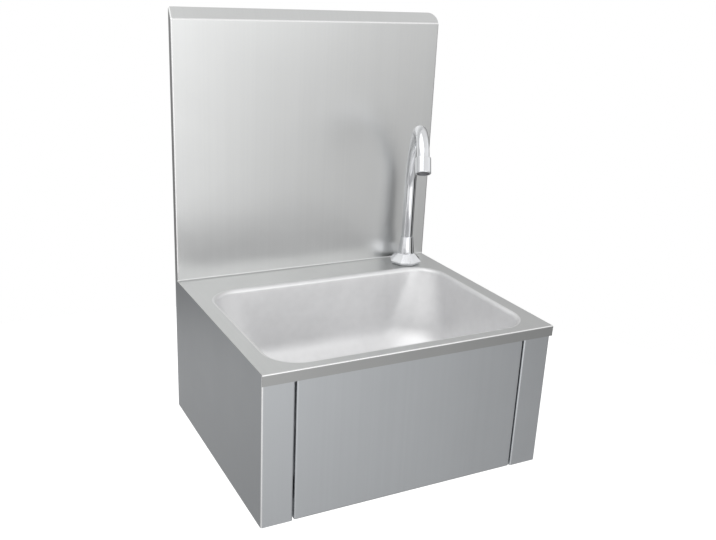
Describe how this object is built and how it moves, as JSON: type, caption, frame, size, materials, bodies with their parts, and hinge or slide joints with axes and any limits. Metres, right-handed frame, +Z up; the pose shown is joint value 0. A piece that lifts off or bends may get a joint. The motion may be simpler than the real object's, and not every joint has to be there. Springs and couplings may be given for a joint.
{
  "type": "hand wash sink",
  "caption": "Wall-hung stainless steel hand wash sink with a splashback, a swan-neck tap and a knee flap that works a self-closing valve.",
  "frame": {"origin": "on the wall plane, on the deck's centre line, level with the cabinet's bottom edge", "axes": "+X to the viewer's right, +Y into the wall, +Z up"},
  "size_m": [0.4, 0.335, 0.563],
  "materials": {
    "stainless": "brushed",
    "bowl_steel": "satin",
    "chrome": "polished",
    "rail_steel": "mill",
    "brass": "machined",
    "fixing_steel": "bright",
    "copper": "drawn copper",
    "black_rubber": "matt",
    "nylon": "moulded",
    "white_plastic": "moulded",
    "hose_braid": "braided"
  },
  "bodies": {
    "cabinet": {"deck_and_splashback": "stainless", "bowl": "bowl_steel", "side_panel_left": "stainless", "side_panel_right": "stainless", "wall_rail_upper": "rail_steel", "wall_rail_lower": "rail_steel", "valve_rail": "rail_steel", "inlet_bracket": "rail_steel", "hinge_pin_left": "fixing_steel", "hinge_pin_right": "fixing_steel", "hinge_clip_left": "fixing_steel", "hinge_clip_right": "fixing_steel", "stop_rubber_left": "black_rubber", "stop_rubber_right": "black_rubber", "knee_valve_body": "brass", "valve_bonnet": "brass", "valve_spring": "fixing_steel", "valve_panel_nut": "brass", "mixing_tee": "brass", "check_valve_hot": "brass", "check_valve_cold": "brass", "inlet_nut_hot": "brass", "inlet_nut_cold": "brass", "feed_pipe": "copper", "feed_nut_front": "brass", "feed_nut_rear": "brass", "riser_hose": "hose_braid", "hose_nut_lower": "brass", "hose_nut_upper": "brass", "hose_ferrule_lower": "fixing_steel", "hose_ferrule_upper": "fixing_steel", "tap_base": "chrome", "tap_gasket": "black_rubber", "tap_backing_plate": "rail_steel", "tap_rubber_washer": "black_rubber", "tap_steel_washer": "fixing_steel", "tap_nut": "brass", "tap_shank": "brass", "tap_collar": "chrome", "o_ring_lower": "black_rubber", "o_ring_upper": "black_rubber", "waste_strainer": "bowl_steel", "waste_upper_gasket": "black_rubber", "waste_lower_gasket": "black_rubber", "waste_body": "white_plastic", "waste_screw": "fixing_steel"},
    "knee_flap": {"knee_panel": "stainless", "hinge_bush_left": "nylon", "hinge_bush_right": "nylon", "pusher_channel": "rail_steel", "adjusting_screw": "fixing_steel", "adjusting_nut": "fixing_steel", "pusher_cap": "black_rubber"},
    "plunger": {"valve_plunger": "fixing_steel", "valve_seal": "black_rubber"},
    "spout": {"spout": "chrome", "swivel_bush": "nylon", "aerator_housing": "chrome", "aerator_gasket": "black_rubber", "aerator_insert": "nylon"}
  },
  "joints": [
    {"name": "knee_flap_hinge", "type": "hinge", "parent": "cabinet", "child": "knee_flap", "pos_m": [-0.0017, -0.3277, 0.19], "axis": [1, 0, 0], "range_deg": [0, 5]},
    {"name": "plunger_slide", "type": "slide", "parent": "cabinet", "child": "plunger", "axis": [0, 1, 0], "range_m": [0, 0.0135], "stiffness_N_per_m": 500, "springref_m": -0.012, "deforming": ["valve_spring"]},
    {"name": "spout_swivel", "type": "hinge", "parent": "cabinet", "child": "spout", "pos_m": [0.1505, -0.041, 0.24], "axis": [0, 0, 1], "range_deg": [-65, 110]}
  ],
  "couplings": [
    {"joint": "plunger_slide", "follows": "knee_flap_hinge", "m_per_rad": 0.147}
  ]
}
